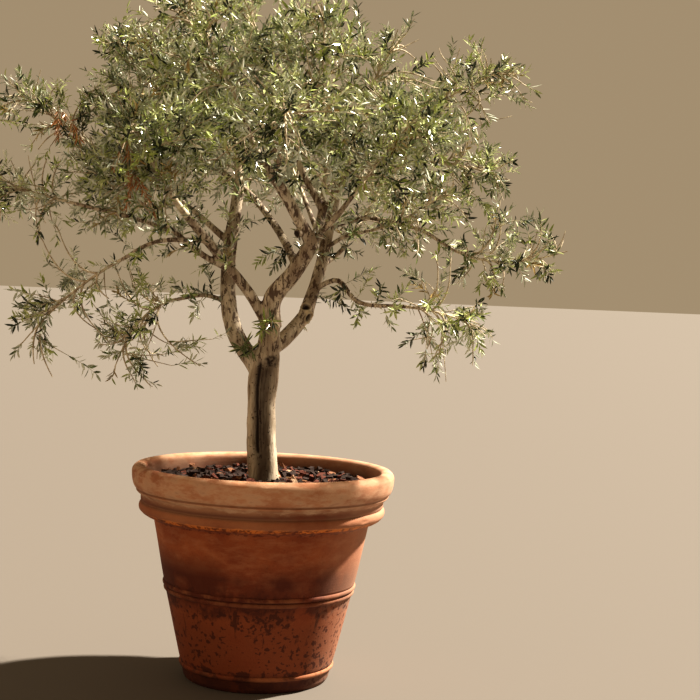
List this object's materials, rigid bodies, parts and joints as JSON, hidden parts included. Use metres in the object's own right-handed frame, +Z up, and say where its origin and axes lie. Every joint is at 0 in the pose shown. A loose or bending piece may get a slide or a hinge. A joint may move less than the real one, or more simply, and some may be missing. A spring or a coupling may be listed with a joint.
{
  "type": "potted olive tree",
  "caption": "Small olive tree with a forked trunk and a loose, open grey-green crown, standing in a wide round terracotta pot with a rolled rim and raised bands.",
  "frame": {"origin": "middle of the pot's flat underside, on the ground", "axes": "+Z up along the trunk, +X to the right as the picture sees the tree, -Y towards the viewer"},
  "size_m": [2.3187, 1.7234, 2.7985],
  "materials": {
    "terracotta": "matte",
    "soil": "matte",
    "bark": "matte",
    "foliage": "matte"
  },
  "bodies": {
    "root": {"pot": "terracotta", "soil": "soil", "trunk": "bark", "bough_left": "bark", "bough_centre": "bark", "bough_right": "bark", "bough_left_front": "bark", "bough_right_upper": "bark", "bough_crown": "bark", "bough_crown_top": "bark", "bough_crown_left": "bark", "bough_centre_back": "bark", "bough_top": "bark", "bough_back_left": "bark", "bough_back": "bark", "bough_front": "bark", "branch_left_middle": "bark", "branch_left_low": "bark", "branch_left_droop": "bark", "branch_left_high": "bark", "branch_left_crest": "bark", "branch_left_far": "bark", "branch_right_front": "bark", "branch_right_crest": "bark", "branch_right_top": "bark", "branch_right_high": "bark", "branch_right_side": "bark", "branch_right_back": "bark", "branch_right_mid": "bark", "branch_right_far": "bark", "branch_right_low": "bark", "foliage_left_inner": "foliage", "foliage_left_front": "foliage", "foliage_left": "foliage", "foliage_left_arm_high": "foliage", "foliage_left_crest": "foliage", "foliage_left_arm_low": "foliage", "foliage_left_droop": "foliage", "foliage_left_low": "foliage", "foliage_crown_left": "foliage", "foliage_crown_right": "foliage", "foliage_centre": "foliage", "foliage_top": "foliage", "foliage_back_left": "foliage", "foliage_back": "foliage", "foliage_front": "foliage", "foliage_right_front": "foliage", "foliage_right": "foliage", "foliage_right_crest": "foliage", "foliage_right_back": "foliage", "foliage_right_mid": "foliage", "foliage_right_far": "foliage", "foliage_right_high": "foliage", "foliage_right_side": "foliage", "foliage_right_low": "foliage"}
  },
  "joints": []
}
